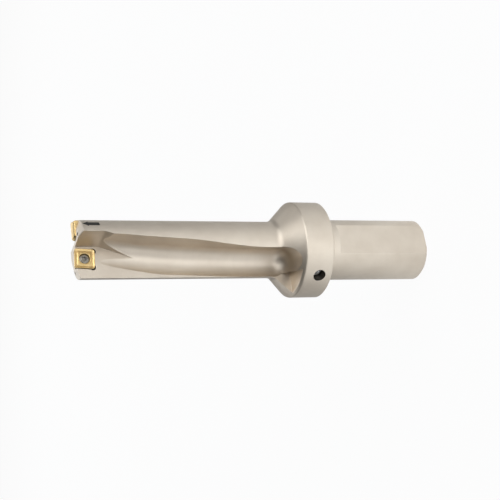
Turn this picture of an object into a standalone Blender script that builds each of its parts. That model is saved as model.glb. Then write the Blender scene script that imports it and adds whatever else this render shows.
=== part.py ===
"""Indexable drill with a flatted parallel shank, a flange and two exchangeable inserts.

The drill stands on the end of its shank: the shank's end face is z = 0, the drill's axis is +Z
and the tip is up. The flute that carries the inner insert faces -Y. Lengths are in metres and
angles in degrees. A flute has its own frame: across its pad plane, up from it, and along Z.
"""
import math

import bmesh
import bpy
from mathutils import Matrix, Vector

# Shank
SHANK_DIAMETER = 0.032
SHANK_LENGTH = 0.060
SHANK_CHAMFER = 0.0014
FLAT_DEPTH = 0.0022
FLAT_SETBACK = 0.008
FLAT_TURN = 24.3

# Flange, and the cone that leads to the fluted body
FLANGE_DIAMETER = 0.0504
FLANGE_LENGTH = 0.0153
FLANGE_CHAMFER = 0.0005
FLANGE_ROUNDING = 0.0015
CONE_FILLET = 0.006

# Fluted body
BODY_DIAMETER = 0.0296
HEAD_LENGTH = 0.1295
FRONT_FLAT_DIAMETER = 0.020
FRONT_BEVEL_ANGLE = 18.5

# Pad plane: the flat side of each flute, in which the insert is let in
PAD_LEAN = 23.0
PAD_DROP = 0.0008
POCKET_WALL_LEAN = 8.85
POCKET_LENGTH = 0.0119
POCKET_SPLAY = 19.4
POCKET_BLEND = 0.006
INNER_WALL_CLEARANCE = 0.00125
OUTER_WALL_CLEARANCE = 0.0004
PAD_SPLIT_FROM_TIP = 0.070
PAD_FRONT_EDGE = 0.0080
PAD_REAR_EDGE = 0.0111
PAD_EDGE_BY_BALL = 0.0137
PAD_EDGE_AT_END = 0.0119
PAD_END_BEYOND_GROOVE = 0.0007

# Round groove of each flute, at stations measured back from the front face: distance, centre
# across, centre up, radius, lean of the upper wall, and lean at which the round starts. The
# rear section, without its distance, holds from before the cone to the middle of the round end.
GROOVE_RUN_OUT = (0.0119, 0.00609, 0.00820, 0.0090, -2.0, 14.0)
GROOVE_BY_TIP = (
    (0.0165, 0.00648, 0.00803, 0.0090, -2.4, 6.7),
    (0.0325, 0.00786, 0.00745, 0.0090, -4.7, -20.6),
    (0.0415, 0.00863, 0.00713, 0.0090, -3.2, -3.2),
    (0.0495, 0.00903, 0.00698, 0.0089, -3.0, -3.0),
)
GROOVE_REAR_SECTION = (0.00978, 0.00531, 0.0079, 18.0, 18.0)
GROOVE_REAR_BEFORE_CONE = 0.0057
GROOVE_END_IN_CONE = 0.0007
OUTER_RUN_OUT_FROM_TIP = 0.0215
RUN_OUT_LIFT = 1.0
RUN_OUT_SHIFT = 0.33

# Inserts
CUTTING_DIAMETER = 0.030
INSERT_SIZE = 0.0103
INSERT_THICKNESS = 0.0040
INSERT_CORNER_RADIUS = 0.0012
INSERT_CLEARANCE_ANGLE = 11.0
INSERT_PROUD = 0.0007
INNER_INSERT_LEAD = 0.0009
OUTER_INSERT_LEAD = 0.0013
INNER_INSERT_TURN = 4.0
OUTER_INSERT_TURN = 0.0
INNER_INSERT_OVERLAP = 0.0007
CHIP_LAND = 0.0003
CHIP_GROOVE_WIDTH = 0.0015
CHIP_GROOVE_DEPTH = 0.0003
CORNER_RELIEF_RADIUS = 0.0016
CORNER_RELIEF_INSET = 0.00095

# Insert screws
SCREW_DIAMETER = 0.0035
SCREW_HEAD_DIAMETER = 0.0048
SCREW_HEAD_SINK = 0.0004
SCREW_HEAD_RIM = 0.0004
SCREW_CONE_HEIGHT = 0.0013
SCREW_LENGTH = 0.0072
SOCKET_DIAMETER = 0.0026
SOCKET_DEPTH = 0.0012

# Coolant ways, side port and plug
INLET_DIAMETER = 0.0140
INLET_DEPTH = 0.016
INLET_CHAMFER = 0.0008
FEED_DIAMETER = 0.008
OUTLET_DIAMETER = 0.0020
OUTLET_IN_OUTER_LAND = (-0.0054, 0.0074)
OUTLET_IN_INNER_LAND = (0.0095, -0.0075)
OUTLET_ROOT = 0.20
PORT_TURN = -31.5
PORT_FROM_FLANGE_REAR = 0.0070
PORT_DIAMETER = 0.0066
PORT_WAY_DIAMETER = 0.0040
PLUG_LENGTH = 0.0060
PLUG_SINK = 0.0046
PLUG_CHAMFER = 0.0004
PLUG_SOCKET_WIDTH = 0.0030
PLUG_SOCKET_DEPTH = 0.0028

# Gap left between pieces that seat on each other
SEAT_GAP = 0.0003

# Facets
TURNED_FACETS = 120
BORE_FACETS = 28
GROOVE_FACETS = 26
CORNER_FACETS = 5
BEYOND = 0.003

SHANK_RADIUS = SHANK_DIAMETER / 2
FLANGE_RADIUS = FLANGE_DIAMETER / 2
BODY_RADIUS = BODY_DIAMETER / 2
CONE_LENGTH = FLANGE_RADIUS - BODY_RADIUS
FLANGE_FRONT = SHANK_LENGTH + FLANGE_LENGTH
CONE_FRONT = FLANGE_FRONT + CONE_LENGTH
BODY_FRONT = SHANK_LENGTH + HEAD_LENGTH
INSERT_TOP = INSERT_PROUD - PAD_DROP
INNER_INSERT_START = -INNER_INSERT_OVERLAP
OUTER_INSERT_START = CUTTING_DIAMETER / 2 - INSERT_SIZE
INNER_SEAT = (INNER_INSERT_START, INNER_INSERT_LEAD, INNER_INSERT_TURN)
OUTER_SEAT = (OUTER_INSERT_START, OUTER_INSERT_LEAD, OUTER_INSERT_TURN)
SCREW_TOP = INSERT_TOP - SCREW_HEAD_SINK
PLUG_TOP = FLANGE_RADIUS - PLUG_SINK
PORT_HEIGHT = SHANK_LENGTH + PORT_FROM_FLANGE_REAR
REACH = 1.4 * FLANGE_DIAMETER
GROOVE_STATIONS = (
    *GROOVE_BY_TIP,
    (BODY_FRONT - CONE_FRONT - GROOVE_REAR_BEFORE_CONE, *GROOVE_REAR_SECTION),
    (BODY_FRONT - CONE_FRONT + GROOVE_END_IN_CONE, *GROOVE_REAR_SECTION),
)

STEEL = ("nickel_plated_steel", (0.66, 0.60, 0.53), 1.0, 0.34)
COATING = ("titanium_nitride", (0.83, 0.62, 0.27), 1.0, 0.30)
SCREW_STEEL = ("dark_screw_steel", (0.30, 0.29, 0.29), 1.0, 0.38)
PLUG_STEEL = ("bright_plug_steel", (0.62, 0.61, 0.59), 1.0, 0.30)


def clear_scene():
    """Remove every object of the open file."""
    for thing in list(bpy.data.objects):
        bpy.data.objects.remove(thing, do_unlink=True)


def material(finish):
    """Make the Principled material of a finish, or reuse it."""
    name, colour, metallic, roughness = finish
    found = bpy.data.materials.get(name)
    if found:
        return found
    made = bpy.data.materials.new(name)
    made.use_nodes = True
    shader = made.node_tree.nodes["Principled BSDF"]
    shader.inputs["Base Color"].default_value = (*colour, 1.0)
    shader.inputs["Metallic"].default_value = metallic
    shader.inputs["Roughness"].default_value = roughness
    return made


def flute_frame(turn):
    """Placement of one flute's frame, turned about the drill's axis."""
    lean = math.radians(PAD_LEAN)
    across = Vector((-math.cos(lean), -math.sin(lean), 0.0))
    up = Vector((math.sin(lean), -math.cos(lean), 0.0))
    axes = Matrix((across, up, Vector((0.0, 0.0, 1.0)))).transposed().to_4x4()
    return Matrix.Rotation(math.radians(turn), 4, "Z") @ axes


def turned_to(angle):
    """Direction across the drill, at an angle from -Y towards +X."""
    turn = math.radians(angle)
    return Vector((math.sin(turn), -math.cos(turn), 0.0))


def mesh_object(name, mesh_data, frame=None):
    """Turn a bmesh into an object with outward normals, placed by a frame."""
    bmesh.ops.remove_doubles(mesh_data, verts=mesh_data.verts, dist=1e-6)
    if frame is not None:
        bmesh.ops.transform(mesh_data, matrix=frame, verts=mesh_data.verts)
    bmesh.ops.recalc_face_normals(mesh_data, faces=mesh_data.faces)
    mesh = bpy.data.meshes.new(name)
    mesh_data.to_mesh(mesh)
    mesh_data.free()
    thing = bpy.data.objects.new(name, mesh)
    bpy.context.scene.collection.objects.link(thing)
    return thing


def loft(name, rings, frame=None):
    """Skin rings of equal point counts and cap both ends."""
    mesh_data = bmesh.new()
    rows = [[mesh_data.verts.new(point) for point in ring] for ring in rings]
    count = len(rows[0])
    sides = []
    for lower, upper in zip(rows, rows[1:]):
        for i in range(count):
            j = (i + 1) % count
            sides.append(mesh_data.faces.new((lower[i], lower[j], upper[j], upper[i])))
    mesh_data.faces.new(rows[0])
    mesh_data.faces.new(rows[-1])
    bmesh.ops.triangulate(mesh_data, faces=sides)
    return mesh_object(name, mesh_data, frame)


def turned(name, profile, facets, frame=None):
    """Spin a profile of (radius, height) pairs about the Z axis."""
    mesh_data = bmesh.new()
    points = [mesh_data.verts.new((radius, 0.0, height)) for radius, height in profile]
    edges = [mesh_data.edges.new(pair) for pair in zip(points, points[1:])]
    bmesh.ops.spin(mesh_data, geom=points + edges, cent=(0, 0, 0), axis=(0, 0, 1),
                   angle=math.tau, steps=facets, use_duplicate=False)
    return mesh_object(name, mesh_data, frame)


def prism(name, outline, direction, frame=None):
    """Extrude a flat outline along a direction."""
    mesh_data = bmesh.new()
    face = mesh_data.faces.new([mesh_data.verts.new(point) for point in outline])
    grown = bmesh.ops.extrude_face_region(mesh_data, geom=[face])
    moved = [item for item in grown["geom"] if isinstance(item, bmesh.types.BMVert)]
    bmesh.ops.translate(mesh_data, verts=moved, vec=direction)
    return mesh_object(name, mesh_data, frame)


def axis_frame(start, direction):
    """Placement that puts the Z axis at a point along a direction."""
    return Matrix.Translation(start) @ direction.to_track_quat("Z", "Y").to_matrix().to_4x4()


def rod(name, start, end, radius, facets=BORE_FACETS):
    """A plain cylinder from one point to another."""
    along = Vector(end) - Vector(start)
    outline = [(0, 0), (radius, 0), (radius, along.length), (0, along.length)]
    return turned(name, outline, facets, axis_frame(Vector(start), along))


def cut(target, cutter):
    """Take a cutter away from a target."""
    cutter.hide_render = True
    cutter.display_type = "WIRE"
    modifier = target.modifiers.new(cutter.name, "BOOLEAN")
    modifier.operation = "DIFFERENCE"
    modifier.solver = "EXACT"
    modifier.object = cutter


def dress(thing, finish, sharp=30.0):
    """Give a piece its material and smooth its round faces."""
    thing.data.materials.append(material(finish))
    thing.data.shade_smooth()
    thing.data.set_sharp_from_angle(angle=math.radians(sharp))


def fillet(corner, before, after, radius, steps):
    """Points of the arc that rounds the corner between two straight lines."""
    corner = Vector(corner)
    to_before = (Vector(before) - corner).normalized()
    to_after = (Vector(after) - corner).normalized()
    half = to_before.angle(to_after) / 2
    centre = corner + (to_before + to_after).normalized() * radius / math.sin(half)
    start = corner + to_before * radius / math.tan(half) - centre
    end = corner + to_after * radius / math.tan(half) - centre
    sweep = start.angle(end)
    points = []
    for i in range(steps + 1):
        part = i / steps
        mix = start * math.sin((1 - part) * sweep) + end * math.sin(part * sweep)
        points.append(tuple(centre + mix / math.sin(sweep)))
    return points


def blank_profile():
    """Outline of the turned blank, from the middle of its end face to the middle of its tip."""
    bevel = math.tan(math.radians(FRONT_BEVEL_ANGLE))
    shoulder = BODY_FRONT - (BODY_RADIUS - FRONT_FLAT_DIAMETER / 2) * bevel
    rear = (FLANGE_RADIUS, SHANK_LENGTH + FLANGE_CHAMFER)
    return [
        (0.0, 0.0),
        (SHANK_RADIUS - SHANK_CHAMFER, 0.0),
        (SHANK_RADIUS, SHANK_CHAMFER),
        (SHANK_RADIUS, SHANK_LENGTH),
        (FLANGE_RADIUS - FLANGE_CHAMFER, SHANK_LENGTH),
        rear,
        *fillet((FLANGE_RADIUS, FLANGE_FRONT), rear, (BODY_RADIUS, CONE_FRONT),
                FLANGE_ROUNDING, 3),
        *fillet((BODY_RADIUS, CONE_FRONT), (FLANGE_RADIUS, FLANGE_FRONT),
                (BODY_RADIUS, shoulder), CONE_FILLET, 5),
        (BODY_RADIUS, shoulder),
        (FRONT_FLAT_DIAMETER / 2, BODY_FRONT),
        (0.0, BODY_FRONT),
    ]


def between(stations, distance):
    """Values of the groove at a distance from the front, between two stations."""
    for near, far in zip(stations, stations[1:]):
        if near[0] <= distance <= far[0]:
            part = (distance - near[0]) / (far[0] - near[0])
            return tuple(a + (b - a) * part for a, b in zip(near, far))
    return stations[-1]


def groove_section(height, across, up, radius, wall_lean, arc_lean):
    """One cross-section of the flute cutter: leaning wall, round bottom and outer side."""
    wall = math.radians(wall_lean)
    outer = math.radians(GROOVE_STATIONS[-1][4])
    first = math.radians(arc_lean)
    last = outer - math.pi
    arc = []
    for i in range(GROOVE_FACETS + 1):
        turn = first + (last - first) * i / GROOVE_FACETS
        arc.append((across - radius * math.cos(turn), up + radius * math.sin(turn)))
    top = (arc[0][0] + REACH * math.sin(wall), arc[0][1] + REACH * math.cos(wall))
    side = (arc[-1][0] + REACH * math.sin(outer), arc[-1][1] + REACH * math.cos(outer))
    return [(x, y, height) for x, y in (top, *arc, side)]


def groove_cutter(name, turn, run_out):
    """Flute cutter: it runs out near the tip and ends round in the cone."""
    lead = run_out[0] + BEYOND
    lifted = (-BEYOND, run_out[1] + lead * RUN_OUT_SHIFT, run_out[2] + lead * RUN_OUT_LIFT,
              *run_out[3:])
    stations = [lifted, run_out, *(s for s in GROOVE_STATIONS if s[0] > run_out[0])]
    rings = []
    for near, far in zip(stations, stations[1:]):
        steps = max(1, round((far[0] - near[0]) / 0.004))
        for i in range(steps):
            distance = near[0] + (far[0] - near[0]) * i / steps
            rings.append(groove_section(BODY_FRONT - distance, *between(stations, distance)[1:]))
    distance, across, up, radius, wall, arc = stations[-1]
    for angle in range(0, 90, 8):
        swing = math.radians(angle)
        height = BODY_FRONT - distance - radius * math.sin(swing)
        rings.append(groove_section(height, across, up, radius * math.cos(swing), wall, arc))
    return loft(name, rings, flute_frame(turn))


def pad_cutters(name, turn, start):
    """Cutters of the pad plane: by the insert, with a wall that splays out, and at the rear."""
    front = BODY_FRONT + BEYOND
    knee = BODY_FRONT - POCKET_LENGTH
    split = BODY_FRONT - PAD_SPLIT_FROM_TIP
    far = knee - (PAD_FRONT_EDGE - start) / math.tan(math.radians(POCKET_SPLAY))
    end = BODY_FRONT - GROOVE_STATIONS[-1][0] - GROOVE_STATIONS[-1][3] - PAD_END_BEYOND_GROOVE
    corner = fillet((start, knee), (start, front), (PAD_FRONT_EDGE, far), POCKET_BLEND, 3)
    fore = [(start, front), *corner, (PAD_FRONT_EDGE, far), (PAD_FRONT_EDGE, split),
            (REACH, split), (REACH, front)]
    ball = BODY_FRONT - GROOVE_STATIONS[-1][0]
    rear = [(PAD_REAR_EDGE, split + BEYOND), (PAD_REAR_EDGE, ball + BEYOND),
            (PAD_EDGE_BY_BALL, ball - BEYOND), (PAD_EDGE_AT_END, end), (REACH, end),
            (REACH, split + BEYOND)]
    cutters = []
    for part, outline, lean in (("front", fore, -POCKET_WALL_LEAN),
                                ("rear", rear, GROOVE_STATIONS[-1][4])):
        slope = math.radians(lean)
        rise = Vector((math.sin(slope), math.cos(slope), 0.0)) * REACH
        corners = [(across, -PAD_DROP, height) for across, height in outline]
        cutters.append(prism(f"{name}_{part}", corners, rise, flute_frame(turn)))
    return cutters


def in_seat(seat, right, front, up):
    """Point of the flute's frame that lies so far from the middle of an insert's seat."""
    start, lead, turn = seat
    swing = math.radians(turn)
    across = start + INSERT_SIZE / 2 + right * math.cos(swing) - front * math.sin(swing)
    along = BODY_FRONT + lead - INSERT_SIZE / 2 + right * math.sin(swing) + front * math.cos(swing)
    return Vector((across, up, along))


def square_ring(seat, up, inset, radius):
    """Rounded square of the insert's size, in the plane at a height above the pad frame."""
    middle = INSERT_SIZE / 2 - inset - radius
    points = []
    for right, front, first in ((middle, middle, 0), (-middle, middle, 90),
                                (-middle, -middle, 180), (middle, -middle, 270)):
        for i in range(CORNER_FACETS + 1):
            turn = math.radians(first + 90 * i / CORNER_FACETS)
            points.append(in_seat(seat, right + radius * math.cos(turn),
                                  front + radius * math.sin(turn), up))
    return points


def insert_rings(seat):
    """Rings of an insert, from its underside to the middle of its chip groove."""
    relief = math.tan(math.radians(INSERT_CLEARANCE_ANGLE))
    corner = INSERT_CORNER_RADIUS
    groove = CHIP_LAND + CHIP_GROOVE_WIDTH
    return [
        square_ring(seat, INSERT_TOP - INSERT_THICKNESS, INSERT_THICKNESS * relief, corner / 2),
        square_ring(seat, INSERT_TOP, 0.0, corner),
        square_ring(seat, INSERT_TOP, CHIP_LAND, corner - CHIP_LAND),
        square_ring(seat, INSERT_TOP - CHIP_GROOVE_DEPTH, CHIP_LAND + CHIP_GROOVE_WIDTH / 3,
                    corner - CHIP_LAND - CHIP_GROOVE_WIDTH / 3),
        square_ring(seat, INSERT_TOP - CHIP_GROOVE_DEPTH / 2, groove, corner / 4),
    ]


def pocket_rings(seat):
    """Rings of the pocket that clears an insert all round and below."""
    relief = math.tan(math.radians(INSERT_CLEARANCE_ANGLE))
    floor = INSERT_THICKNESS + SEAT_GAP
    corner = INSERT_CORNER_RADIUS
    return [
        square_ring(seat, INSERT_TOP - floor, floor * relief - SEAT_GAP, corner / 2),
        square_ring(seat, INSERT_TOP + BEYOND, -BEYOND * relief - SEAT_GAP, corner + SEAT_GAP),
    ]


def screw_profile(clearance, length, above=0.0):
    """Outline of an insert screw, or of the hole that clears it."""
    head = SCREW_HEAD_DIAMETER / 2 + clearance
    stem = SCREW_DIAMETER / 2 + clearance
    rim = -SCREW_HEAD_RIM - clearance
    neck = rim - SCREW_CONE_HEIGHT
    return [(0.0, above), (head, above), (head, rim), (stem, neck), (stem, -length),
            (0.0, -length)]


def lobed_outline(diameter, depth, lobes=6, steps=36):
    """Outline of a lobed driving socket, at a depth under the screw's top."""
    mean = diameter / 2 * 0.9
    wave = diameter / 2 * 0.1
    points = []
    for i in range(steps):
        turn = math.tau * i / steps
        radius = mean + wave * math.cos(lobes * turn)
        points.append((radius * math.cos(turn), radius * math.sin(turn), depth))
    return points


def screw_frame(seat, turn):
    """Placement of an insert screw: its Z axis points up out of the insert."""
    middle = in_seat(seat, 0.0, 0.0, SCREW_TOP)
    return flute_frame(turn) @ axis_frame(middle, Vector((0.0, 1.0, 0.0)))


def port_frame(radius):
    """Placement on the side port's axis, at a radius from the drill's axis, facing outwards."""
    outwards = turned_to(PORT_TURN)
    return axis_frame(outwards * radius + Vector((0.0, 0.0, PORT_HEIGHT)), outwards)


def make_insert(name, seat, turn):
    """An exchangeable square insert with its countersunk screw hole."""
    insert = loft(name, insert_rings(seat), flute_frame(turn))
    hole = screw_profile(SEAT_GAP, INSERT_THICKNESS + BEYOND, BEYOND)
    cut(insert, turned(f"{name}_hole", hole, BORE_FACETS, screw_frame(seat, turn)))
    dress(insert, COATING)


def make_screw(name, seat, turn):
    """The screw of an insert, with a lobed socket."""
    place = screw_frame(seat, turn)
    screw = turned(name, screw_profile(0.0, SCREW_LENGTH), BORE_FACETS, place)
    socket = lobed_outline(SOCKET_DIAMETER, -SOCKET_DEPTH)
    cut(screw, prism(f"{name}_socket", socket, Vector((0.0, 0.0, BEYOND)), place))
    dress(screw, SCREW_STEEL)


def make_plug():
    """The set screw that closes the coolant way in the flange's side port."""
    radius = PORT_DIAMETER / 2 - SEAT_GAP
    outline = [(0.0, -PLUG_LENGTH), (radius - PLUG_CHAMFER, -PLUG_LENGTH),
               (radius, PLUG_CHAMFER - PLUG_LENGTH), (radius, -PLUG_CHAMFER),
               (radius - PLUG_CHAMFER, 0.0), (0.0, 0.0)]
    plug = turned("coolant_plug", outline, BORE_FACETS, port_frame(PLUG_TOP))
    corner = PLUG_SOCKET_WIDTH / math.sqrt(3)
    socket = []
    for i in range(6):
        turn = math.radians(60 * i)
        socket.append((corner * math.cos(turn), corner * math.sin(turn), -PLUG_SOCKET_DEPTH))
    cut(plug, prism("coolant_plug_socket", socket, Vector((0.0, 0.0, 2 * BEYOND)),
                    port_frame(PLUG_TOP)))
    dress(plug, PLUG_STEEL)


def cut_flute(body, name, turn, wall, run_out, seat):
    """Cut one flute: pad plane, round groove, insert pocket, corner reliefs and screw hole."""
    for cutter in pad_cutters(f"{name}_pad", turn, wall):
        cut(body, cutter)
    cut(body, groove_cutter(f"{name}_groove", turn, run_out))
    cut(body, loft(f"{name}_pocket", pocket_rings(seat), flute_frame(turn)))
    floor = INSERT_TOP - INSERT_THICKNESS - 1.5 * SEAT_GAP
    corner = INSERT_SIZE / 2 - CORNER_RELIEF_INSET
    for side, right in (("near", -corner), ("far", corner)):
        foot = flute_frame(turn) @ in_seat(seat, right, -corner, floor)
        head = flute_frame(turn) @ in_seat(seat, right, -corner, BEYOND)
        if Vector((head.x, head.y)).length + CORNER_RELIEF_RADIUS < BODY_RADIUS:
            cut(body, rod(f"{name}_relief_{side}", foot, head, CORNER_RELIEF_RADIUS))
    hole = screw_profile(SEAT_GAP, SCREW_LENGTH + SEAT_GAP, BEYOND)
    cut(body, turned(f"{name}_screw_hole", hole, BORE_FACETS, screw_frame(seat, turn)))


def cut_coolant_ways(body):
    """Cut the inlet in the shank, the feed, the outlets in the front face and the side port."""
    inlet = INLET_DIAMETER / 2
    feed = FEED_DIAMETER / 2
    feed_end = PORT_HEIGHT + PORT_DIAMETER / 2
    profile = [(0.0, -BEYOND), (inlet + INLET_CHAMFER + BEYOND, -BEYOND), (inlet, INLET_CHAMFER),
               (inlet, INLET_DEPTH), (feed, INLET_DEPTH + inlet - feed), (feed, feed_end),
               (0.0, feed_end + feed / 2)]
    cut(body, turned("inlet_cutter", profile, 2 * BORE_FACETS))
    place = flute_frame(0.0)
    for name, (across, up) in (("outer", OUTLET_IN_OUTER_LAND), ("inner", OUTLET_IN_INNER_LAND)):
        root = Vector((across * OUTLET_ROOT, up * OUTLET_ROOT, PORT_HEIGHT))
        tip = Vector((across, up, BODY_FRONT))
        over = tip + (tip - root).normalized() * BEYOND
        cut(body, rod(f"{name}_outlet", place @ root, place @ over, OUTLET_DIAMETER / 2, 16))
    seat = PLUG_TOP - PLUG_LENGTH - SEAT_GAP
    port = PORT_DIAMETER / 2
    way = PORT_WAY_DIAMETER / 2
    stepped = [(0.0, -seat), (way, -seat), (way, 0.0), (port, 0.0),
               (port, FLANGE_RADIUS - seat + BEYOND), (0.0, FLANGE_RADIUS - seat + BEYOND)]
    cut(body, turned("port_cutter", stepped, BORE_FACETS, port_frame(seat)))


def make_body():
    """The drill's one-piece steel body."""
    body = turned("drill_body", blank_profile(), TURNED_FACETS)
    inner_wall = INNER_INSERT_START - INNER_WALL_CLEARANCE
    outer_wall = OUTER_INSERT_START - OUTER_WALL_CLEARANCE
    late = between((GROOVE_RUN_OUT, *GROOVE_STATIONS), OUTER_RUN_OUT_FROM_TIP)
    cut_flute(body, "inner", 0.0, inner_wall, GROOVE_RUN_OUT, INNER_SEAT)
    cut_flute(body, "outer", 180.0, outer_wall, late, OUTER_SEAT)
    outwards = turned_to(FLAT_TURN)
    sideways = outwards.cross(Vector((0.0, 0.0, 1.0)))
    foot = outwards * (SHANK_RADIUS - FLAT_DEPTH)
    low = Vector((0.0, 0.0, -BEYOND))
    high = Vector((0.0, 0.0, SHANK_LENGTH - FLAT_SETBACK))
    outline = [foot + sideways * SHANK_RADIUS + low, foot - sideways * SHANK_RADIUS + low,
               foot - sideways * SHANK_RADIUS + high, foot + sideways * SHANK_RADIUS + high]
    cut(body, prism("flat_cutter", outline, outwards * SHANK_RADIUS))
    cut_coolant_ways(body)
    dress(body, STEEL)


def main():
    """Build every piece of the drill."""
    clear_scene()
    make_body()
    make_insert("inner_insert", INNER_SEAT, 0.0)
    make_insert("outer_insert", OUTER_SEAT, 180.0)
    make_screw("inner_insert_screw", INNER_SEAT, 0.0)
    make_screw("outer_insert_screw", OUTER_SEAT, 180.0)
    make_plug()


main()
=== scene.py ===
"""Indexable drill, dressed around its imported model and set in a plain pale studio.

The drill stands on its shank with its axis on +Z and the tip up. Lengths are in metres and
angles in degrees. A flute has its own frame: across its pad, up out of it, and along the axis.
"""
import enum
import logging
import math
from collections.abc import Callable
from dataclasses import dataclass, field

import bmesh
import bpy
from mathutils import Matrix, Vector


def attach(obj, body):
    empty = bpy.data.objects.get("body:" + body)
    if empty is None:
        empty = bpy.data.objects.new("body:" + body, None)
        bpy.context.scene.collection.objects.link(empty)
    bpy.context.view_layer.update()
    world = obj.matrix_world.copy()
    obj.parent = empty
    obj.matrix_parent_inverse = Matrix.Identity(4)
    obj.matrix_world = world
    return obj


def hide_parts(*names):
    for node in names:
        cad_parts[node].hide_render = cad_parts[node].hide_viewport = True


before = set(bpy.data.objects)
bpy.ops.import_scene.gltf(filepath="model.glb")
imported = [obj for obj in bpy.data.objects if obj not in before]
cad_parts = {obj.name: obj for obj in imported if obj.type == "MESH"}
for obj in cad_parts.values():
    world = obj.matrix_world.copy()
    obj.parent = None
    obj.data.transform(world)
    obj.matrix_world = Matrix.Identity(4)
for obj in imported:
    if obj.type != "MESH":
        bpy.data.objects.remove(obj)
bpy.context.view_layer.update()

LOG = logging.getLogger("indexable_drill")
Colour = tuple[float, float, float]
Pair = tuple[float, float]
Point = tuple[float, float, float]
Station = tuple[float, ...]
Points = list[Vector | Point]
Thing = bpy.types.Object
Socket = bpy.types.NodeSocket
Feed = Socket | float | Point
Feeds = dict[str | int, Feed]
Test = Callable[[bmesh.types.BMFace | bmesh.types.BMEdge], bool]

# How far a cutter stands out of what it cuts, the gap beside seated pieces, a width that clears
# the whole drill, and the least distance that counts
BEYOND = 0.003
SEAT_GAP = 0.0003
REACH = 0.070
TINY = 1e-6
CUTTING_RADIUS = 0.015

# Numbers of sides of the round pieces and cutters
SCREW_FACETS = 64
BORE_FACETS = 48

# Least upward share of a level face's normal, and the sharpest edges that are shaded smooth
LEVEL = 0.9
BODY_SMOOTH = 24.0
SMALL_PIECE_SMOOTH = 28.0

WHITE = (1.0, 1.0, 1.0)
DAYLIGHT = (0.90, 0.945, 1.0)


class Surface(enum.IntEnum):
    """How a face of the body was made, which is also its material slot."""

    TURNED = 0
    GROUND = 1
    MILLED = 2
    GROOVE = 3
    BORE = 4


class Lay(enum.Enum):
    """Direction of the fine tool marks in a finish, as the stretch of their pattern."""

    ROUND_THE_AXIS = (0.02, 0.02, 1.0)
    ALONG_THE_AXIS = (1.0, 1.0, 0.02)
    EVERY_WAY = (1.0, 1.0, 1.0)


def deselect() -> None:
    """Leave edit mode and deselect everything."""
    if bpy.context.mode != "OBJECT":
        bpy.ops.object.mode_set(mode="OBJECT")
    bpy.ops.object.select_all(action="DESELECT")


def activate(thing: Thing) -> None:
    """Select one object alone and make it the active one.

    Args:
        thing: The object.
    """
    deselect()
    bpy.context.view_layer.objects.active = thing
    thing.select_set(True)


def start_editing(thing: Thing, kind: str = "FACE") -> None:
    """Open one object in edit mode with nothing selected in it.

    Args:
        thing: The object to work on.
        kind: What is selected there: EDGE or FACE.
    """
    activate(thing)
    bpy.ops.object.mode_set(mode="EDIT")
    bpy.ops.mesh.select_mode(type=kind)
    bpy.ops.mesh.select_all(action="DESELECT")


def pick(thing: Thing, wanted: Test, kind: str = "faces") -> None:
    """Select the faces or edges that a test wants, in edit mode.

    Args:
        thing: The object being edited.
        wanted: Says of a face or an edge whether it is wanted.
        kind: What is tested: faces or edges.
    """
    mesh = bmesh.from_edit_mesh(thing.data)
    for item in getattr(mesh, kind):
        item.select_set(bool(wanted(item)))
    bmesh.update_edit_mesh(thing.data)


def face_outwards(thing: Thing) -> None:
    """Merge a closed mesh's doubles and turn its faces outwards.

    Args:
        thing: The object with the mesh.
    """
    start_editing(thing)
    bpy.ops.mesh.select_all(action="SELECT")
    bpy.ops.mesh.remove_doubles(threshold=TINY)
    bpy.ops.mesh.normals_make_consistent(inside=False)
    deselect()


def put(thing: Thing, place: Matrix) -> Thing:
    """Move a mesh to its place and leave its object at the origin.

    Args:
        thing: The object whose mesh is moved.
        place: Where its own frame goes.

    Returns:
        The same object.
    """
    thing.data.transform(place)
    thing.matrix_world = Matrix.Identity(4)
    return thing


def named(name: str) -> Thing:
    """Name the primitive that was just added and bring its object to the origin.

    Args:
        name: Name of the object.

    Returns:
        The object, with its place in its mesh.
    """
    thing = bpy.context.active_object
    thing.name = name
    return put(thing, thing.matrix_world.copy())


def drawn_mesh(name: str, points: Points, faces: list[list[int]]) -> Thing:
    """Make an object from drawn points and faces.

    Args:
        name: Name of the object.
        points: Corners, in metres.
        faces: Corner numbers of each face.

    Returns:
        The new object.
    """
    mesh = bpy.data.meshes.new(name)
    mesh.from_pydata([tuple(point) for point in points], [], faces)
    thing = bpy.data.objects.new(name, mesh)
    bpy.context.scene.collection.objects.link(thing)
    return thing


def turned_solid(name: str, profile: list[Pair], facets: int) -> Thing:
    """Draw a round solid out of a cone, one step of its profile after another.

    Args:
        name: Name of the object.
        profile: Radius and height at each step, upwards, none of them on the axis.
        facets: Number of sides.

    Returns:
        The closed round solid, about +Z.
    """
    (radius, low), (next_radius, high) = profile[:2]
    deselect()
    bpy.ops.mesh.primitive_cone_add(vertices=facets, radius1=radius, radius2=next_radius,
                                    depth=high - low, location=(0, 0, (low + high) / 2))
    thing = named(name)
    start_editing(thing)
    pick(thing, lambda face: face.normal.z > LEVEL and len(face.verts) == facets)
    for (radius, low), (next_radius, high) in zip(profile[1:], profile[2:]):
        bpy.ops.mesh.extrude_region_move(TRANSFORM_OT_translate={"value": (0, 0, high - low)})
        share = next_radius / radius
        bpy.ops.transform.resize(value=(share, share, 1), center_override=(0, 0, high))
    face_outwards(thing)
    return thing


def pushed_solid(name: str, outline: Points, rise: Vector) -> Thing:
    """Push a drawn outline along a direction into a solid.

    Args:
        name: Name of the object.
        outline: Corners of the flat outline.
        rise: Direction and length of the push.

    Returns:
        The closed solid.
    """
    thing = drawn_mesh(name, outline, [list(range(len(outline)))])
    start_editing(thing)
    bpy.ops.mesh.select_all(action="SELECT")
    bpy.ops.mesh.extrude_region_move(TRANSFORM_OT_translate={"value": tuple(rise)})
    face_outwards(thing)
    return thing


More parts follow.
